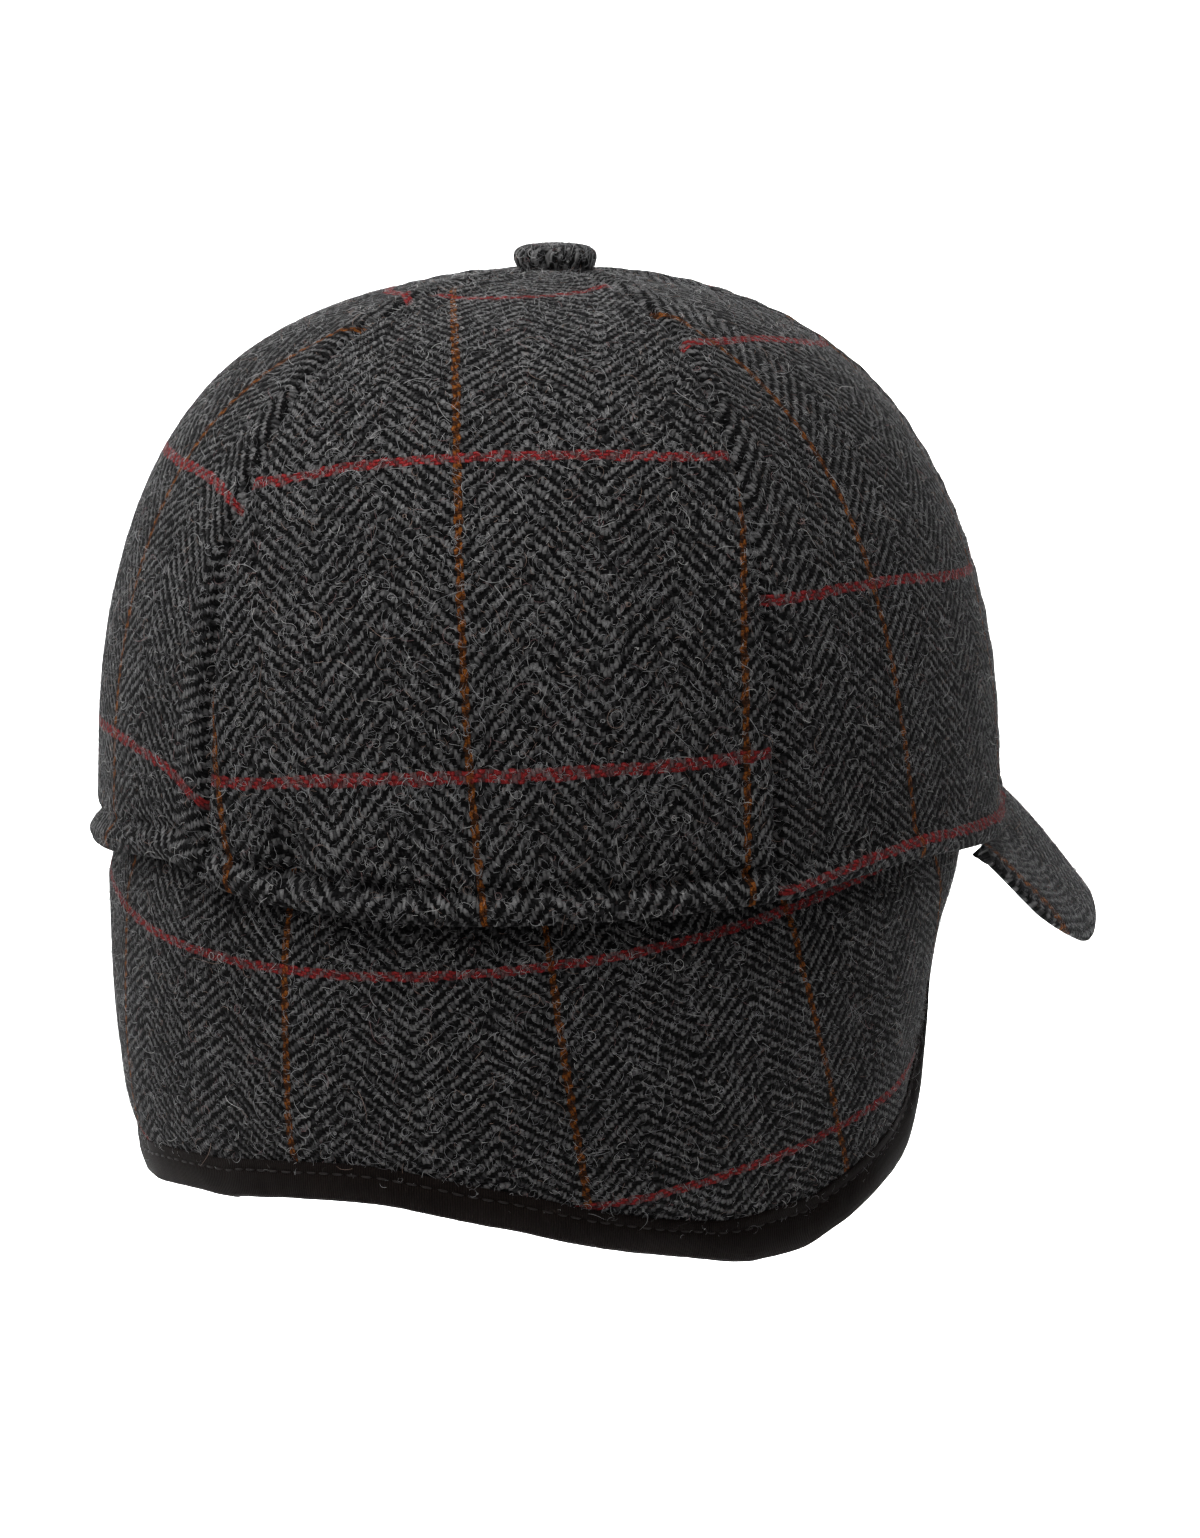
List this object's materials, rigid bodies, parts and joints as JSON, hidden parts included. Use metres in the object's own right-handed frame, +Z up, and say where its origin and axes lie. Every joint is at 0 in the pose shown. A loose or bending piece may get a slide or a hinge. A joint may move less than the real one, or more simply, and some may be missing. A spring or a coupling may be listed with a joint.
{
  "type": "earflap cap",
  "caption": "Wool tweed cap with a panelled crown, covered button, short peak and a wide bound flap round the back and ears.",
  "frame": {"origin": "middle of the head opening, in the plane of the crown's lower edge", "axes": "+Z up through the button, -Y forward over the peak, -X to the wearer's right"},
  "size_m": [0.1758, 0.2511, 0.2035],
  "materials": {
    "tweed": "fuzzy charcoal herringbone wool with a thin overcheck",
    "binding_tape": "dark brown ribbed tape"
  },
  "bodies": {
    "root": {"back_panel_right": "tweed", "side_panel_right": "tweed", "front_panel": "tweed", "side_panel_left": "tweed", "back_panel_left": "tweed", "top_button": "tweed", "peak": "tweed", "ear_flap": "tweed", "flap_binding": "binding_tape"}
  },
  "joints": []
}
